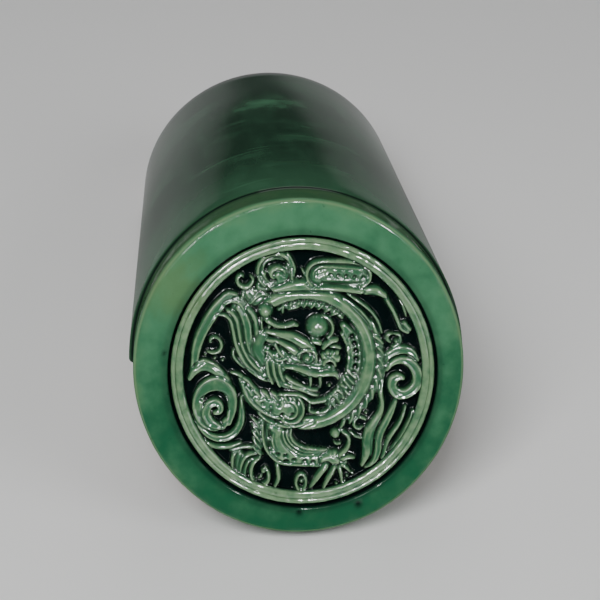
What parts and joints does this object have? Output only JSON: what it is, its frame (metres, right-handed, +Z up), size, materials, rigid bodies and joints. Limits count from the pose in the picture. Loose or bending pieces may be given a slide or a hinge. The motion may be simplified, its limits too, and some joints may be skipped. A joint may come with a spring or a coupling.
{
  "type": "half-round eaves roof tile",
  "caption": "Half-round glazed clay roof tile for the eaves, with a stepped tongue at the back and a round end disc carved with a coiled dragon.",
  "frame": {"origin": "centre of the bottom of the bounding box, on the surface that the tile lies on", "axes": "+Z up, the carved disc faces -Y and leans back, the barrel runs back and down along +Y to the tongue"},
  "size_m": [0.1278, 0.3064, 0.1191],
  "materials": {
    "green_glazed_clay": "glossy green lead glaze over pinkish buff clay"
  },
  "bodies": {
    "root": {"eaves_tile": "green_glazed_clay"}
  },
  "joints": []
}
